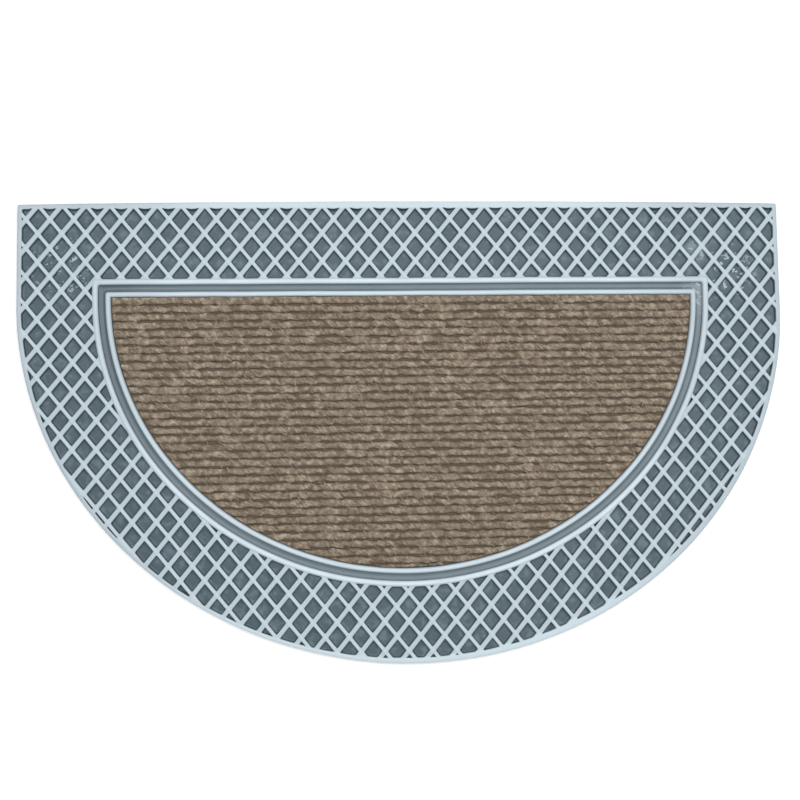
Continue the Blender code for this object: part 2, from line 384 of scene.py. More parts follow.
def rim_line():
    """The rim's inner edge, which wanders a little and bulges inwards between the ribs' ends."""
    top = TOP_EDGE - EDGE_RIM_WIDTH
    line = []
    for x, y in dee(*rim_sizes(), MAT_CORNER, lean=RIM_LEAN, top_steps=RIM_LINE_STEPS):
        away = RIM_WANDER * noise.noise(Vector((x * RIM_WAVES_A_METRE, y * RIM_WAVES_A_METRE, RIM_LAYER)))
        if y > top - SHORTEST_EDGE:
            away -= RIM_BULGE * math.cos(math.tau * x / DIAMOND_WIDTH)
        else:
            x *= 1 + away / HALF_WIDTH
        line.append((x, y + away))
    return line


def lattice_point(falling, rising):
    """The place where the two ribs of these numbers cross; a whole number is a rib's middle line."""
    x = DIAMOND_WIDTH * (falling + rising) / 2
    y = TOP_EDGE - FIRST_CROSSINGS + DIAMOND_HEIGHT * (falling - rising) / 2
    return x, y


def lattice_numbers(x, y):
    """The rib numbers at a place: lattice_point the other way round."""
    total = 2 * x / DIAMOND_WIDTH
    difference = 2 * (y - TOP_EDGE + FIRST_CROSSINGS) / DIAMOND_HEIGHT
    return (total + difference) / 2, (total - difference) / 2


def lattice_cells():
    """Every (falling, rising) pair of whole numbers whose diamond lies on the mat or near it."""
    reach = math.ceil(HALF_WIDTH / DIAMOND_WIDTH + MAT_DEPTH / DIAMOND_HEIGHT)
    for falling in range(-reach, reach):
        for rising in range(-reach, reach):
            x, y = lattice_point(falling + 0.5, rising + 0.5)
            if abs(x) < HALF_WIDTH + DIAMOND_WIDTH and abs(y) < MAT_DEPTH / 2 + DIAMOND_HEIGHT:
                yield falling, rising


def diamonds():
    """The four corners of every diamond between the ribs, counter-clockwise."""
    half_falling = FALLING_RIB / 2 / RIB_SPACING
    half_rising = RISING_RIB / 2 / RIB_SPACING
    found = []
    for falling, rising in lattice_cells():
        left, right = falling + half_falling, falling + 1 - half_falling
        low, high = rising + half_rising, rising + 1 - half_rising
        corners = ((left, low), (left, high), (right, high), (right, low))
        found.append([lattice_point(*corner) for corner in corners])
    return found


def divided(outlines, loose, output_type):
    """The plane cut along outlines, with loose points added: its points, its faces and what each lies in."""
    places, loops = [], []
    for outline in outlines:
        loops.append(list(range(len(places), len(places) + len(outline))))
        places += [Vector(place) for place in outline]
    places += [Vector(place) for place in loose]
    points, _, faces, _, _, inside = delaunay_2d_cdt(places, [], loops, output_type, CUT_WITHIN)
    return points, faces, [set(numbers) for numbers in inside]


def without_short_edges(loop):
    """A closed line in which corners that nearly meet are one, and corners that hardly turn are gone."""
    kept = []
    for point in loop:
        if kept and (point - kept[-1]).length < SHORTEST_EDGE:
            kept[-1] = (kept[-1] + point) / 2
        else:
            kept.append(point)
    if len(kept) > 1 and (kept[0] - kept[-1]).length < SHORTEST_EDGE:
        kept[0] = (kept[0] + kept.pop()) / 2
    turning = []
    for i, point in enumerate(kept):
        before, after = kept[i - 1], kept[(i + 1) % len(kept)]
        chord = after - before
        away = abs(chord.cross(point - before)) / max(chord.length, SHORTEST_EDGE)
        if away > FLATTEST_CORNER:
            turning.append(point)
    return turning


def loop_radius(loop):
    """Twice a closed line's area over its length: the radius of the circle in it, for a regular shape."""
    pairs = list(zip(loop, loop[1:] + loop[:1]))
    area = sum(a.cross(b) for a, b in pairs) / 2
    length = sum((b - a).length for a, b in pairs)
    return 2 * area / length


def openings():
    """The lattice's openings, cut off at the rim and at the outer bead."""
    rim, bead = 0, 1
    outlines = [rim_line(), panel_outline(BAND_WIDTH + BEAD_LAND)] + diamonds()
    points, faces, inside = divided(outlines, [], REGIONS)
    found = []
    for face, around in zip(faces, inside):
        if rim not in around or bead in around or len(around) < 2:
            continue
        loop = without_short_edges([points[i] for i in face])
        if len(loop) > 2 and loop_radius(loop) > SMALLEST_POCKET:
            found.append(loop)
    return found


def moved_in(loop, distance):
    """A closed counter-clockwise line moved inwards by distance, its corners mitred."""
    moved = []
    for i, point in enumerate(loop):
        before = (point - loop[i - 1]).normalized().orthogonal()
        after = (loop[(i + 1) % len(loop)] - point).normalized().orthogonal()
        moved.append(point + (before + after) * (distance / max(1 + before.dot(after), MITRE_LIMIT)))
    return moved


def pocket_ring(loop, sharp, parts, distance, cut):
    """The opening's line moved in by distance, its sharp corners rounded and its long sides divided."""
    corners = moved_in(loop, distance)
    ring = []
    for i, point in enumerate(corners):
        before, after = corners[i - 1], corners[(i + 1) % len(corners)]
        last = point
        if sharp[i]:
            reach = min(cut, CUT_SHARE * (point - before).length, CUT_SHARE * (after - point).length)
            first = point + (before - point).normalized() * reach
            last = point + (after - point).normalized() * reach
            ring += [first, (first + last + 2 * point) / 4, last]
        else:
            ring.append(point)
        end = after
        if sharp[(i + 1) % len(corners)]:
            reach = min(cut, CUT_SHARE * (after - point).length)
            end = after + (point - after).normalized() * reach
        ring += [last.lerp(end, step / parts[i]) for step in range(1, parts[i])]
    return ring


def turn_at(loop, i):
    """How far a closed line turns at its corner i, in radians."""
    before = loop[i] - loop[i - 1]
    after = loop[(i + 1) % len(loop)] - loop[i]
    return before.angle(after, 0.0)


def within(x, y, half_width, depth, sides, top, margin, lean=0.0):
    """Whether a place is in a D that is larger by margin on each side, and that leans as dee says."""
    if abs(x) > half_width + margin or y > top + margin:
        return False
    side = sides[x > 0]
    below = max(top - side - y, 0.0) / (depth - side + margin)
    return ((x - lean * below**2) / (half_width + margin)) ** 2 + below**2 < 1


def on_lattice(x, y, past_rim, from_bead):
    """Whether a place is at most past_rim beyond the rim's inner line, and from_bead clear of the band."""
    panel = (PANEL_HALF, PANEL_DEPTH, (0.0, 0.0), PANEL_EDGE)
    inside_rim = within(x, y, *rim_sizes(), past_rim, RIM_LEAN)
    return inside_rim and not within(x, y, *panel, BAND_WIDTH + from_bead)


def rib_height(x, y):
    """The height of the painted tops: flat on the rim and at the bead, a little crown on each rib between."""
    if not on_lattice(x, y, CROWN_PAST_RIM, CROWN_FROM_BEAD):
        return RIB_TOP
    numbers = lattice_numbers(x, y)
    height = 0.0
    for number, width, crown in zip(numbers, (FALLING_RIB, RISING_RIB), (FALLING_CROWN, RISING_CROWN)):
        away = abs(number - round(number)) * RIB_SPACING / (width / 2 + CROWN_SPREAD)
        height = max(height, crown * (1 - away * away))
    return RIB_TOP + height


def rib_middles():
    """Places along the middle lines of the ribs, clear of the rim and of the outer bead."""
    found = []
    for falling, rising in lattice_cells():
        for step in (0.0, 0.25, 0.5, 0.75):
            found.append(lattice_point(falling + step, rising))
            if step:
                found.append(lattice_point(falling, rising + step))
    return [place for place in found if on_lattice(*place, MIDDLES_PAST_RIM, BEAD_LAND)]


def uneven(place, height):
    """A moulding's slight unevenness: the place moved a little, in waves much longer than a rib is wide."""
    spot = Vector((place[0], place[1], 0.0)) / EDGE_WAVELENGTH
    sideways = noise.noise(spot + Vector((0.0, 0.0, SIDEWAYS_LAYER)))
    along = noise.noise(spot + Vector((0.0, 0.0, ALONG_LAYER)))
    return place[0] + EDGE_WANDER * sideways, place[1] + EDGE_WANDER * along, height


def add_loop(bm, outline, heights):
    """New points of bm along a closed line, at one height or at a height for each."""
    if isinstance(heights, float):
        heights = [heights] * len(outline)
    return [bm.verts.new(uneven(place, height)) for place, height in zip(outline, heights)]


def bridge(bm, outer, inner):
    """Quads between two counter-clockwise loops with as many points as each other, facing up."""
    for i, vert in enumerate(outer):
        j = (i + 1) % len(outer)
        bm.faces.new((vert, outer[j], inner[j], inner[i]))


def add_pocket(bm, opening):
    """One blind pocket: shoulder, leaning wall, fillet and a barely crowned floor. Returns its shoulder."""
    size = min(1.0, loop_radius(opening) / FULL_POCKET)
    sharp = [turn_at(opening, i) > SHARP_TURN for i in range(len(opening))]
    parts = []
    for i, point in enumerate(opening):
        length = (opening[(i + 1) % len(opening)] - point).length
        parts.append(max(1, round(length / POCKET_EDGE_STEP)))
    shoulder, above = None, None
    for distance, height, start in POCKET_WALL:
        ring = pocket_ring(opening, sharp, parts, distance * size, CORNER_CUT * size)
        if start == FROM_TOP:
            heights = [rib_height(*place) + height for place in ring]
        else:
            heights = [SHEET_TOP + height] * len(ring)
        verts = add_loop(bm, ring, heights)
        if above:
            bridge(bm, above, verts)
        else:
            shoulder = ring
        above = verts
    middle = sum((vert.co for vert in above), Vector()) / len(above)
    inner = [bm.verts.new(vert.co.lerp(middle, FLOOR_RING)) for vert in above]
    for vert in inner:
        vert.co.z = SHEET_TOP + FLOOR_CROWN
    bridge(bm, above, inner)
    bm.faces.new(inner)
    return shoulder


def bead_section(inner_side, width, outer_foot, inner_foot, top):
    """A half-round bead's section, outer foot first, as (distance outside the panel, height)."""
    section = []
    for step in range(BEAD_STEPS + 1):
        angle = math.pi * step / BEAD_STEPS
        foot = outer_foot if step * 2 <= BEAD_STEPS else inner_foot
        rise = max(math.sin(angle), 0.0) ** BEAD_SQUARENESS
        section.append((inner_side + width * (1 + math.cos(angle)) / 2, foot + (top - foot) * rise))
    return section


def add_band(bm):
    """The two beads and the channel between them, and the floor under the carpet panel."""
    outer_side, inner_side = BAND_WIDTH - BEAD_WIDTH, INNER_BEAD_WIDTH - PILE_OVERLAP
    foot = CHANNEL_FLOOR + CHANNEL_FILLET
    section = bead_section(outer_side, BEAD_WIDTH, RIB_TOP, foot, BEAD_TOP)
    section += [(outer_side - CHANNEL_FILLET, CHANNEL_FLOOR), (inner_side + CHANNEL_FILLET, CHANNEL_FLOOR)]
    section += bead_section(-PILE_OVERLAP, INNER_BEAD_WIDTH, foot, SHEET_TOP, BEAD_TOP - INNER_BEAD_DROP)
    loops = [add_loop(bm, panel_outline(grow), height) for grow, height in section]
    for outer, inner in zip(loops, loops[1:]):
        bridge(bm, outer, inner)
    bm.faces.new(loops[-1])
    return loops[0]


def add_edge(bm):
    """The rounded outer edge, the wall and the underside."""
    loops = [add_loop(bm, mat_outline(grow), height) for grow, height in reversed(EDGE_SECTION)]
    for outer, inner in zip(loops, loops[1:]):
        bridge(bm, outer, inner)
    bm.faces.new(reversed(loops[0]))


def add_tops(bm, shoulders):
    """The painted tops of rim and ribs, between the pockets' shoulders."""
    rim, rim_start = 0, EDGE_SECTION[0][0]
    outlines = [mat_outline(rim_start), panel_outline(BAND_WIDTH)] + shoulders
    points, faces, inside = divided(outlines, rib_middles(), TRIANGLES)
    verts = []
    for x, y in points:
        verts.append(bm.verts.new(uneven((x, y), rib_height(x, y))))
    for face, around in zip(faces, inside):
        if around == {rim}:
            bm.faces.new([verts[i] for i in face])


def join_levels(bm):
    """The tops share the points of the rim's and the bead's loops that they meet, and unused points go."""
    bmesh.ops.remove_doubles(bm, verts=bm.verts, dist=JOIN_WITHIN)
    loose = [vert for vert in bm.verts if not vert.link_faces]
    bmesh.ops.delete(bm, geom=loose, context="VERTS")
    bmesh.ops.recalc_face_normals(bm, faces=bm.faces)


def piece(name, mesh, finish):
    """An object of this name that rides on the mat and takes its finish from the slot."""
    mesh.materials.append(finish)
    thing = bpy.data.objects.new(name, mesh)
    bpy.context.scene.collection.objects.link(thing)
    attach(thing, "root")
    return thing


def rubber_moulding(finish, band_finish):
    """The one-piece moulding, from its flat underside to its painted ribs and beads."""
    bm = bmesh.new()
    shoulders = [add_pocket(bm, opening) for opening in openings()]
    add_edge(bm)
    add_tops(bm, shoulders)
    lattice_faces = len(bm.faces)
    add_band(bm)
    for face in list(bm.faces)[lattice_faces:]:
        face.material_index = 1
    join_levels(bm)
    mesh = bpy.data.meshes.new("rubber_moulding")
    bm.to_mesh(mesh)
    bm.free()
    mesh.shade_smooth()
    mesh.set_sharp_from_angle(angle=CREASE)
    thing = piece("rubber_moulding", mesh, finish)
    mesh.materials.append(band_finish)
    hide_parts("rubber_base")
    return thing


def panel_half(below, inset=0.0):
    """Half the panel's width at a distance below its straight edge, for a panel smaller by inset."""
    return (PANEL_HALF - inset) * math.sqrt(max(1 - (below / (PANEL_DEPTH - inset)) ** 2, 0.0))


def panel_backing(finish):
    """The panel's woven backing, a closed sheet of even thickness."""
    bm = bmesh.new()
    outline = panel_outline(-2 * PILE_OVERLAP)
    foot = [bm.verts.new((x, y, PANEL_FOOT)) for x, y in outline]
    top = [bm.verts.new((x, y, BACKING_TOP)) for x, y in outline]
    bridge(bm, foot, top)
    bm.faces.new(reversed(foot))
    bm.faces.new(top)
    mesh = bpy.data.meshes.new("carpet_backing")
    bm.to_mesh(mesh)
    bm.free()
    thing = piece("carpet_backing", mesh, finish)
    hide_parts("carpet_insert")
    return thing


def clamped(value):
    """The value, kept between 0 and 1."""
    return min(max(value, 0.0), 1.0)


def row_wave(x, length, number, stride, layer):
    """Smooth noise along a row, in waves of this length; stride and layer keep rows and uses of it apart."""
    return noise.noise(Vector((x / length, number * stride, layer)))


def lump(x, y, layer, height, length):
    """A fine lump's height at a place, in waves of this length; the layer keeps uses of it apart."""
    return height * noise.noise(Vector((x, y, layer)) / length)


def furrow(number, x):
    """How far furrow number strays from its straight line at x."""
    long_wave = row_wave(x, LONG_WAVE, number, 5.7, 1.0)
    short_wave = row_wave(x, SHORT_WAVE, number, 3.1, 2.0)
    return FURROW_WANDER * (LONG_SHARE * long_wave + SHORT_SHARE * short_wave)


def closing(number, x):
    """From 0, an open furrow, to 1, where the pile of both rows leans together over it."""
    long_wave = row_wave(x, LONG_WAVE, number, 1, 4.0)
    value = row_wave(x, CLOSING_WAVE, number, 7.3, 9.0) + CLOSING_LONG_SHARE * long_wave
    return clamped((value + CLOSING_FROM) / CLOSING_SPAN)


def crown_height(x, y, row_middle, number):
    """The pile's height at its crown, from 0 to 1: tufts of uneven height, combed into slanted strands."""
    foot = x + STRAND_SLANT * (y - row_middle)
    tuft = row_wave(foot, TUFT_LENGTH, number, 2.3, 0.0)
    patch = row_wave(foot, PATCH_LENGTH, number, 0.9, 5.0)
    phase = STRAND_PHASE * row_wave(foot, STRAND_WAVE, number, 4.1, 8.0)
    strand = abs(math.sin(math.pi * foot / STRAND_PITCH + phase))
    combed = 0.5 + row_wave(x, COMBED_LENGTH, number, 1.3, 6.0)
    strands = STRAND_HEIGHT * combed * (strand - STRAND_MEAN)
    return clamped(CROWN_MEAN + TUFT_HEIGHT * tuft + PATCH_HEIGHT * patch + strands)


def pile_row(number, verts, faces):
    """Adds one row of pile as a closed ridge that follows its two furrows, lumpy along its crown."""
    start = number * ROW_PITCH
    pitch = min(ROW_PITCH, PANEL_DEPTH - start)
    length = 2 * panel_half(start + pitch / 2)
    columns = max(FEWEST_COLUMNS, round(length / ROW_STEP))
    row_middle = PANEL_EDGE - start - pitch / 2
    first = len(verts)
    points = len(ROW_SECTION)
    for column in range(columns + 1):
        along = 2 * column / columns - 1
        middle = along * length / 2
        upper = furrow(number, middle) if number else 0.0
        lower = furrow(number + 1, middle)
        shut = closing(number, middle) if number else EDGE_CLOSING, closing(number + 1, middle)
        end = 1 - abs(along) ** (length / ROW_STEP / END_COLUMNS)
        for across, rise in ROW_SECTION:
            below = start + across * pitch
            if across < 0.5 and not number and rise:
                rise = max(rise, FIRST_SHOULDER)
            gap = FURROW_GAP * (0.5 - across) * (OPEN_WIDTH - SHUT_NARROWING * shut[across > 0.5])
            below += gap - upper * (1 - across) - lower * across
            below = min(max(below, PILE_INSET), (PANEL_DEPTH - PILE_INSET) * TIP_SHARE)
            x, y = along * panel_half(below, PILE_INSET), PANEL_EDGE - below
            crown = CROWN_LOW + (PILE_TOP - CROWN_LOW) * crown_height(x, y, row_middle, number)
            z = BACKING_TOP + (crown - BACKING_TOP) * rise * (END_HEIGHT + (1 - END_HEIGHT) * end)
            z += lump(x, y, *FINE_LUMPS) * rise
            side = lump(x, y, *SIDE_LUMPS) * (1 - abs(2 * across - 1)) * end
            y = max(y + side, PANEL_EDGE - PANEL_DEPTH + PILE_INSET)
            verts.append((x, y, min(z, PILE_TOP)))
    for column in range(columns):
        here = first + column * points
        after = here + points
        for i in range(points):
            j = (i + 1) % points
            faces.append((here + i, here + j, after + j, after + i))
    faces.append(tuple(first + i for i in range(points)))
    faces.append(tuple(reversed([first + columns * points + i for i in range(points)])))


def pile_pieces(finish):
    """The rows of pile, some in each piece."""
    made, first = [], 0
    for index, count in enumerate(ROWS_A_PIECE):
        verts, faces = [], []
        for number in range(first, first + count):
            pile_row(number, verts, faces)
        first += count
        mesh = bpy.data.meshes.new(f"pile_rows_{index + 1}")
        mesh.from_pydata(verts, [], faces)
        mesh.shade_smooth()
        made.append(piece(mesh.name, mesh, finish))
    return made


def add_fibre(verts, faces, middle, length, slant, bend, radius):
    """Adds one fibre: a thin prism, bent sideways and arched upwards."""
    x, y, z = middle
    first = len(verts)
    for step in range(FIBRE_STEPS + 1):
        share = step / FIBRE_STEPS
        along, side = length * (share - 0.5), bend * math.sin(math.pi * share)
        px = x + along * math.cos(slant) - side * math.sin(slant)
        py = y + along * math.sin(slant) + side * math.cos(slant)
        pz = z + FIBRE_ARCH * math.sin(math.pi * share)
        for corner in range(FIBRE_SIDES):
            angle = math.tau * corner / FIBRE_SIDES
            across, up = radius * math.cos(angle), radius * math.sin(angle)
            verts.append((px - across * math.sin(slant), py + across * math.cos(slant), pz + up))
    for step in range(FIBRE_STEPS):
        here = first + FIBRE_SIDES * step
        after = here + FIBRE_SIDES
        for corner in range(FIBRE_SIDES):
            other = (corner + 1) % FIBRE_SIDES
            faces.append((here + corner, here + other, after + other, after + corner))
    last = first + FIBRE_SIDES * FIBRE_STEPS
    faces.append(tuple(reversed(range(first, first + FIBRE_SIDES))))
    faces.append(tuple(range(last, last + FIBRE_SIDES)))


def loose_fibres(finish):
    """Single pale fibres that lie across the crowns of the pile, clear of the panel's edge."""
    draw = random.Random(FIBRE_SEED)
    verts, faces = [], []
    for _ in range(LOOSE_FIBRES):
        below = PANEL_DEPTH * draw.random()
        x = PANEL_HALF * draw.uniform(-1, 1)
        length = draw.uniform(*FIBRE_LENGTHS)
        slant = math.radians(draw.gauss(*FIBRE_SLANT))
        bend = draw.uniform(*FIBRE_BENDS)
        lift = draw.uniform(*FIBRE_LIFTS)
        on_panel = FIBRE_INSET <= below <= PANEL_DEPTH - FIBRE_INSET
        if not on_panel or abs(x) > panel_half(below, FIBRE_INSET):
            continue
        radius = draw.uniform(*FIBRE_RADII)
        if draw.random() < THICK_FIBRES:
            radius *= THICK_FIBRE
        middle = (x, PANEL_EDGE - below, PILE_TOP - FIBRE_SINK + lift)
        add_fibre(verts, faces, middle, length, slant, bend, radius)
    mesh = bpy.data.meshes.new("loose_fibres")
    mesh.from_pydata(verts, [], faces)
    mesh.shade_smooth()
    return piece("loose_fibres", mesh, finish)


class Nodes:
    """A short way to add nodes to a tree: each call makes one node, sets values and links its inputs."""

    def __init__(self, tree):
        self.tree = tree

    def add(self, kind, inputs=None, **settings):
        node = self.tree.nodes.new(kind)
        for name, value in settings.items():
            setattr(node, name, value)
        for key, value in (inputs or {}).items():
            if isinstance(value, bpy.types.NodeSocket):
                self.tree.links.new(value, node.inputs[key])
            else:
                node.inputs[key].default_value = value
        return node

    def math(self, operation, a, b=0.0, clamp=False):
        return self.add("ShaderNodeMath", {0: a, 1: b}, operation=operation, use_clamp=clamp).outputs[0]

    def ramp(self, value, low, high, out_low=0.0, out_high=1.0):
        inputs = {"Value": value, "From Min": low, "From Max": high, "To Min": out_low, "To Max": out_high}
        return self.add("ShaderNodeMapRange", inputs, interpolation_type="SMOOTHSTEP").outputs[0]

    def mix(self, share, first, second, blend="MIX"):
        node = self.add("ShaderNodeMix", data_type="RGBA", blend_type=blend)
        for socket, value in ((node.inputs[0], share), (node.inputs[6], first), (node.inputs[7], second)):
            if isinstance(value, bpy.types.NodeSocket):
                self.tree.links.new(value, socket)
            else:
                socket.default_value = value
        return node.outputs[2]

    def group(self, tree, inputs):
        return self.add("ShaderNodeGroup", inputs, node_tree=tree).outputs

    def patches(self, blotches, place, size, contrast):
        return self.group(blotches, {"Vector": place, "Size": size, "Contrast": contrast})["Mask"]


def new_group(name, inputs, outputs):
    """An empty shader node group with these named float or vector inputs and float outputs."""
    tree = bpy.data.node_groups.new(name, "ShaderNodeTree")
    for label, value in inputs:
        kind = "NodeSocketVector" if value is None else "NodeSocketFloat"
        socket = tree.interface.new_socket(name=label, in_out="INPUT", socket_type=kind)
        if value is not None:
            socket.default_value = value
    for label in outputs:
        tree.interface.new_socket(name=label, in_out="OUTPUT", socket_type="NodeSocketFloat")
    nodes = Nodes(tree)
    return tree, nodes, nodes.add("NodeGroupInput").outputs, nodes.add("NodeGroupOutput")


def blotches_group():
    """Soft patches of about one size: 0 to 1, with more or less contrast."""
    inputs = (("Vector", None), ("Size", 0.01), ("Contrast", 1.0), ("Detail", 2.0))
    tree, nodes, given, out = new_group("blotches", inputs, ("Mask",))
    scale = nodes.math("DIVIDE", 1.0, given["Size"])
    texture = {"Vector": given["Vector"], "Scale": scale, "Detail": given["Detail"], "Roughness": 0.55}
    value = nodes.add("ShaderNodeTexNoise", texture).outputs["Fac"]
    spread = nodes.math("MULTIPLY", nodes.math("SUBTRACT", value, 0.5), given["Contrast"])
    tree.links.new(nodes.math("ADD", spread, 0.5, clamp=True), out.inputs["Mask"])
    return tree


def strands_group():
    """Short slanted strands: noise that is stretched along one direction in the plane of the mat."""
    inputs = (("Vector", None), ("Slant", 0.0), ("Width", 0.001), ("Length", 0.004), ("Contrast", 1.0))
    tree, nodes, given, out = new_group("strands", inputs, ("Mask",))
    turn = nodes.add("ShaderNodeVectorRotate", {"Vector": given["Vector"], "Angle": given["Slant"]},
                     rotation_type="Z_AXIS").outputs[0]
    parts = nodes.add("ShaderNodeSeparateXYZ", {0: turn}).outputs
    along = nodes.math("DIVIDE", parts[0], given["Length"])
    across = nodes.math("DIVIDE", parts[1], given["Width"])
    place = nodes.add("ShaderNodeCombineXYZ", {0: along, 1: across}).outputs[0]
    texture = {"Vector": place, "Scale": 1.0, "Detail": 2.0, "Roughness": 0.6, "Distortion": 0.4}
    value = nodes.add("ShaderNodeTexNoise", texture).outputs["Fac"]
    spread = nodes.math("MULTIPLY", nodes.math("SUBTRACT", value, 0.5), given["Contrast"])
    tree.links.new(nodes.math("ADD", spread, 0.5, clamp=True), out.inputs["Mask"])
    return tree


def new_material(name):
    """A material with its Principled shader, and the object's own coordinates."""
    finish = bpy.data.materials.new(name)
    finish.use_nodes = True
    nodes = Nodes(finish.node_tree)
    shader = finish.node_tree.nodes["Principled BSDF"]
    place = nodes.add("ShaderNodeTexCoord").outputs["Object"]
    return finish, nodes, shader, place


def lit_rim(nodes, parts):
    """From 0 to 1 on the rim, along the straight edge and round the curve's foot: its painted highlight."""
    inner_line = TOP_EDGE - EDGE_RIM_WIDTH
    before, past = EDGE_HIGHLIGHT_STARTS
    along_edge = nodes.ramp(parts[1], inner_line - before, inner_line + past)
    side = sum(SIDE_LENGTHS) / 2
    below = nodes.math("DIVIDE", nodes.math("SUBTRACT", TOP_EDGE - side, parts[1]), MAT_DEPTH - side)
    across = nodes.math("DIVIDE", parts[0], HALF_WIDTH)
    squares = nodes.math("ADD", nodes.math("POWER", nodes.math("ABSOLUTE", below), 2.0),
                         nodes.math("POWER", nodes.math("ABSOLUTE", across), 2.0))
    round_foot = nodes.ramp(nodes.math("SQRT", squares), *FOOT_HIGHLIGHT_STARTS)
    middle = nodes.ramp(nodes.math("ABSOLUTE", parts[0]), *RIM_HIGHLIGHT_ENDS, 1.0, 0.0)
    return nodes.math("MULTIPLY", nodes.math("MAXIMUM", along_edge, round_foot), middle)


def painted_rubber(name, blotches, slate_tones, wall_light, paint_foot, gloss, glints, side_shade, left_shade):
    """Slate rubber whose raised tops are rolled with pale paint; the paint thins out at its lower edge.

    The rubber has two tones, painted lighter on its walls by wall_light against the shade down in the
    pockets, and it is bare below paint_foot. The glints are painted highlights on its glossy floors: (middle,
    reach, how even the glint is). Towards both sides the paint is greyer by side_shade, a painted shade; on
    the left the slate is darker by left_shade, a painted shade; and the rim's paint is paler along the
    straight edge and round the curve's foot, a painted highlight.
    """
    finish, nodes, shader, place = new_material(name)
    link = finish.node_tree.links.new
    parts = nodes.add("ShaderNodeSeparateXYZ", {0: place}).outputs
    height = parts[2]
    # Painted highlight: the rim is paler, and painted further down, along the straight edge and round the
    # curve's foot
    rim = lit_rim(nodes, parts)
    ragged = nodes.patches(blotches, place, *RAGGED_EDGE)
    patches = nodes.patches(blotches, place, *PAINT_PATCHES)
    specks = nodes.patches(blotches, place, *SPECKS)
    edge = nodes.math("ADD", height, nodes.math("MULTIPLY", nodes.math("SUBTRACT", ragged, 0.5), PAINT_RAG))
    paint = nodes.ramp(edge, paint_foot, PAINT_FULL)
    # The rim's painted highlight carries the paint further down its rounding
    highlit_rim_paint = nodes.math("MULTIPLY", rim, nodes.ramp(edge, *HIGHLIT_RIM_STARTS))
    paint = nodes.math("MAXIMUM", paint, highlit_rim_paint)
    slate = nodes.mix(patches, *slate_tones)
    slate = nodes.mix(nodes.ramp(specks, 0.55, 1.0, 0.0, 0.35), slate, SLATE_SPECKS)
    mottle = nodes.patches(blotches, place, *FLOOR_MOTTLE)
    slate = nodes.mix(nodes.ramp(mottle, 0.40, 1.0, 0.0, 0.75), slate, SLATE_MOTTLE)
    # Painted light: the walls' slate is lightened, against the shade down in the pockets
    wall = nodes.math("MULTIPLY", nodes.ramp(height, *WALL_STARTS), nodes.ramp(height, *WALL_ENDS, 1.0, 0.0))
    slate = nodes.mix(nodes.math("MULTIPLY", wall, wall_light), slate, LIT_WALL_SLATE)
    # Painted shade: the slate darkens towards the left
    slate = nodes.mix(nodes.ramp(parts[0], *SHADE_STARTS, left_shade, 0.0), slate, SHADED_SLATE)
    # Painted glints: pale streaks on the floors round given spots, a painted reflection of the lamps on the
    # glossy rubber
    glint_marks = nodes.patches(blotches, place, *GLINT_MARKS)
    for spot, reach, glint_evenness in glints:
        away = nodes.add("ShaderNodeVectorMath", {0: place, 1: spot}, operation="DISTANCE").outputs["Value"]
        near_glint = nodes.ramp(away, 0.3 * reach, reach, 1.0, 0.0)
        glint_streaks = nodes.math("MULTIPLY", near_glint, nodes.ramp(glint_marks, 0.90, 1.0, glint_evenness, 1.0))
        slate = nodes.mix(glint_streaks, slate, GLINT_SLATE)
    pale = nodes.mix(nodes.ramp(height, *RIB_PAINT_STARTS), THIN_PAINT, RIB_PAINT)
    pale = nodes.mix(nodes.ramp(height, *BEAD_PAINT_STARTS), pale, BEAD_PAINT)
    pale = nodes.mix(nodes.ramp(patches, 0.2, 0.9, 0.0, 0.35), pale, WORN_PAINT)
    pale = nodes.mix(nodes.ramp(specks, 0.70, 1.0, 0.0, 0.22), pale, PAINT_SPECKS)
    # Painted shade: the paint greys towards both sides
    sides = nodes.ramp(nodes.math("ABSOLUTE", parts[0]), *SIDE_STARTS, 0.0, side_shade)
    pale = nodes.mix(sides, pale, SIDE_SHADE_PAINT)
    # Painted highlight: the paler paint on the rim
    pale = nodes.mix(rim, pale, RIM_HIGHLIGHT_PAINT)
    link(nodes.mix(paint, slate, pale), shader.inputs["Base Color"])
    link(nodes.ramp(paint, 0.0, 1.0, gloss, 0.50), shader.inputs["Roughness"])
    grain = nodes.math("ADD", nodes.math("MULTIPLY", specks, 0.4), ragged)
    bump = nodes.add("ShaderNodeBump", {"Height": grain, "Strength": 0.35, "Distance": 0.0002})
    link(bump.outputs[0], shader.inputs["Normal"])
    return finish


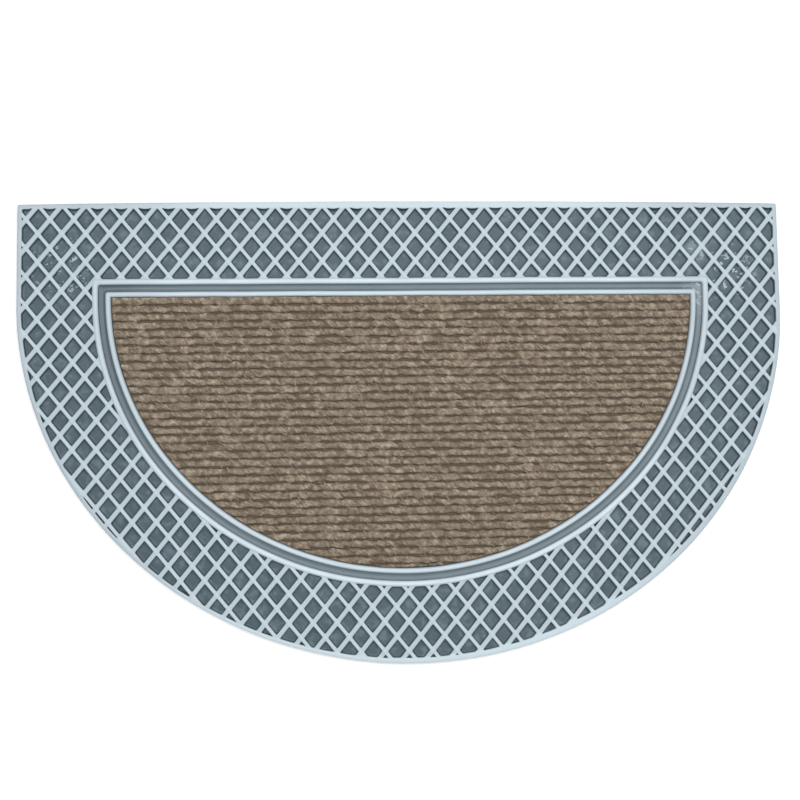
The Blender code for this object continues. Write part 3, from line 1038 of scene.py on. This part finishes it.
def brown_pile(blotches, strands):
    """Heathered brown pile: light and dark yarn in slanted strands, with painted shade down in the furrows."""
    finish, nodes, shader, place = new_material("brown pile")
    link = finish.node_tree.links.new
    height = nodes.add("ShaderNodeSeparateXYZ", {0: place}).outputs[2]
    tufts = nodes.patches(blotches, place, *PILE_TUFTS)
    wide = nodes.patches(blotches, place, *WIDE_PATCHES)
    yarn = nodes.group(strands, {"Vector": place, **PILE_YARN})["Mask"]
    tone = nodes.math("ADD", nodes.math("MULTIPLY", tufts, 0.58), nodes.math("MULTIPLY", yarn, 0.42))
    colour = nodes.mix(nodes.ramp(tone, 0.15, 0.55), DARK_PILE, MIDDLE_PILE)
    colour = nodes.mix(nodes.ramp(tone, 0.50, 0.86), colour, LIGHT_PILE)
    colour = nodes.mix(nodes.ramp(wide, 0.3, 0.8, 0.0, 0.3), colour, PATCH_PILE)
    # Painted shade: the pile darkens down in the furrows
    colour = nodes.mix(nodes.ramp(height, *FURROW_SHADE_HEIGHTS, 0.93, 0.0), colour, FURROW_SHADE)
    link(colour, shader.inputs["Base Color"])
    shader.inputs["Roughness"].default_value = 0.95
    shader.inputs["Specular IOR Level"].default_value = 0.15
    shader.inputs["Sheen Weight"].default_value = 0.06
    shader.inputs["Sheen Roughness"].default_value = 0.5
    bump = nodes.add("ShaderNodeBump", {"Height": tone, "Strength": 0.8, "Distance": 0.0011})
    link(bump.outputs[0], shader.inputs["Normal"])
    return finish


def plain_yarn(name, strands, dark, light):
    """A strand-marked yarn between two tones, for the backing and for the loose fibres."""
    finish, nodes, shader, place = new_material(name)
    link = finish.node_tree.links.new
    yarn = nodes.group(strands, {"Vector": place, **FLAT_YARN})["Mask"]
    link(nodes.mix(yarn, dark, light), shader.inputs["Base Color"])
    shader.inputs["Roughness"].default_value = 0.9
    bump = nodes.add("ShaderNodeBump", {"Height": yarn, "Strength": 0.5, "Distance": 0.0004})
    link(bump.outputs[0], shader.inputs["Normal"])
    return finish


def studio_floor():
    """A plain pale floor, wide enough for every view."""
    finish, _, shader, _ = new_material("studio floor")
    shader.inputs["Base Color"].default_value = (0.95, 0.95, 0.95, 1)
    shader.inputs["Roughness"].default_value = 0.8
    shader.inputs["Specular IOR Level"].default_value = 0.1
    bm = bmesh.new()
    bmesh.ops.create_grid(bm, x_segments=4, y_segments=4, size=FLOOR_REACH)
    mesh = bpy.data.meshes.new("studio_floor")
    bm.to_mesh(mesh)
    bm.free()
    mesh.materials.append(finish)
    floor = bpy.data.objects.new("studio_floor", mesh)
    floor.location.z = -FLOOR_DROP
    bpy.context.scene.collection.objects.link(floor)


def area_light(name, place, width, height, power):
    """A soft rectangular lamp that faces the middle of the mat."""
    data = bpy.data.lights.new(name, "AREA")
    data.shape = "RECTANGLE"
    data.size, data.size_y = width, height
    data.energy = power
    lamp = bpy.data.objects.new(name, data)
    lamp.location = place
    lamp.rotation_euler = (-Vector(place)).to_track_quat("-Z", "Y").to_euler()
    bpy.context.scene.collection.objects.link(lamp)


def studio():
    """White light from all round and from above, and the camera, a metre up and just off the mat's middle."""
    world = bpy.data.worlds.new("studio")
    world.use_nodes = True
    sky = world.node_tree.nodes["Background"]
    sky.inputs["Color"].default_value = SKY
    sky.inputs["Strength"].default_value = SKY_STRENGTH
    bpy.context.scene.world = world
    for lamp in LAMPS:
        area_light(*lamp)
    bpy.context.scene.view_settings.view_transform = "Standard"
    data = bpy.data.cameras.new("camera")
    data.lens, data.sensor_width = CAMERA_LENS, CAMERA_SENSOR
    camera = bpy.data.objects.new("camera", data)
    camera.location = CAMERA_PLACE
    camera.rotation_euler = CAMERA_TURN
    bpy.context.scene.collection.objects.link(camera)
    bpy.context.scene.camera = camera


blotches = blotches_group()
strands = strands_group()
lattice_finish = painted_rubber(
    "painted rubber", blotches, LATTICE_SLATE, wall_light=0.6, paint_foot=0.0047, gloss=0.40,
    glints=LATTICE_GLINTS, side_shade=0.08, left_shade=0.10)
band_finish = painted_rubber(
    "painted band", blotches, BAND_SLATE_AND_SHEEN, wall_light=0.0, paint_foot=0.0042, gloss=0.26,
    glints=BAND_GLINTS, side_shade=0.44, left_shade=0.60)
moulding = rubber_moulding(lattice_finish, band_finish)
backing = panel_backing(plain_yarn("woven backing", strands, *BACKING_TONES))
pile = pile_pieces(brown_pile(blotches, strands))
pile.append(loose_fibres(plain_yarn("pale fibre", strands, *FIBRE_TONES)))
studio_floor()
studio()
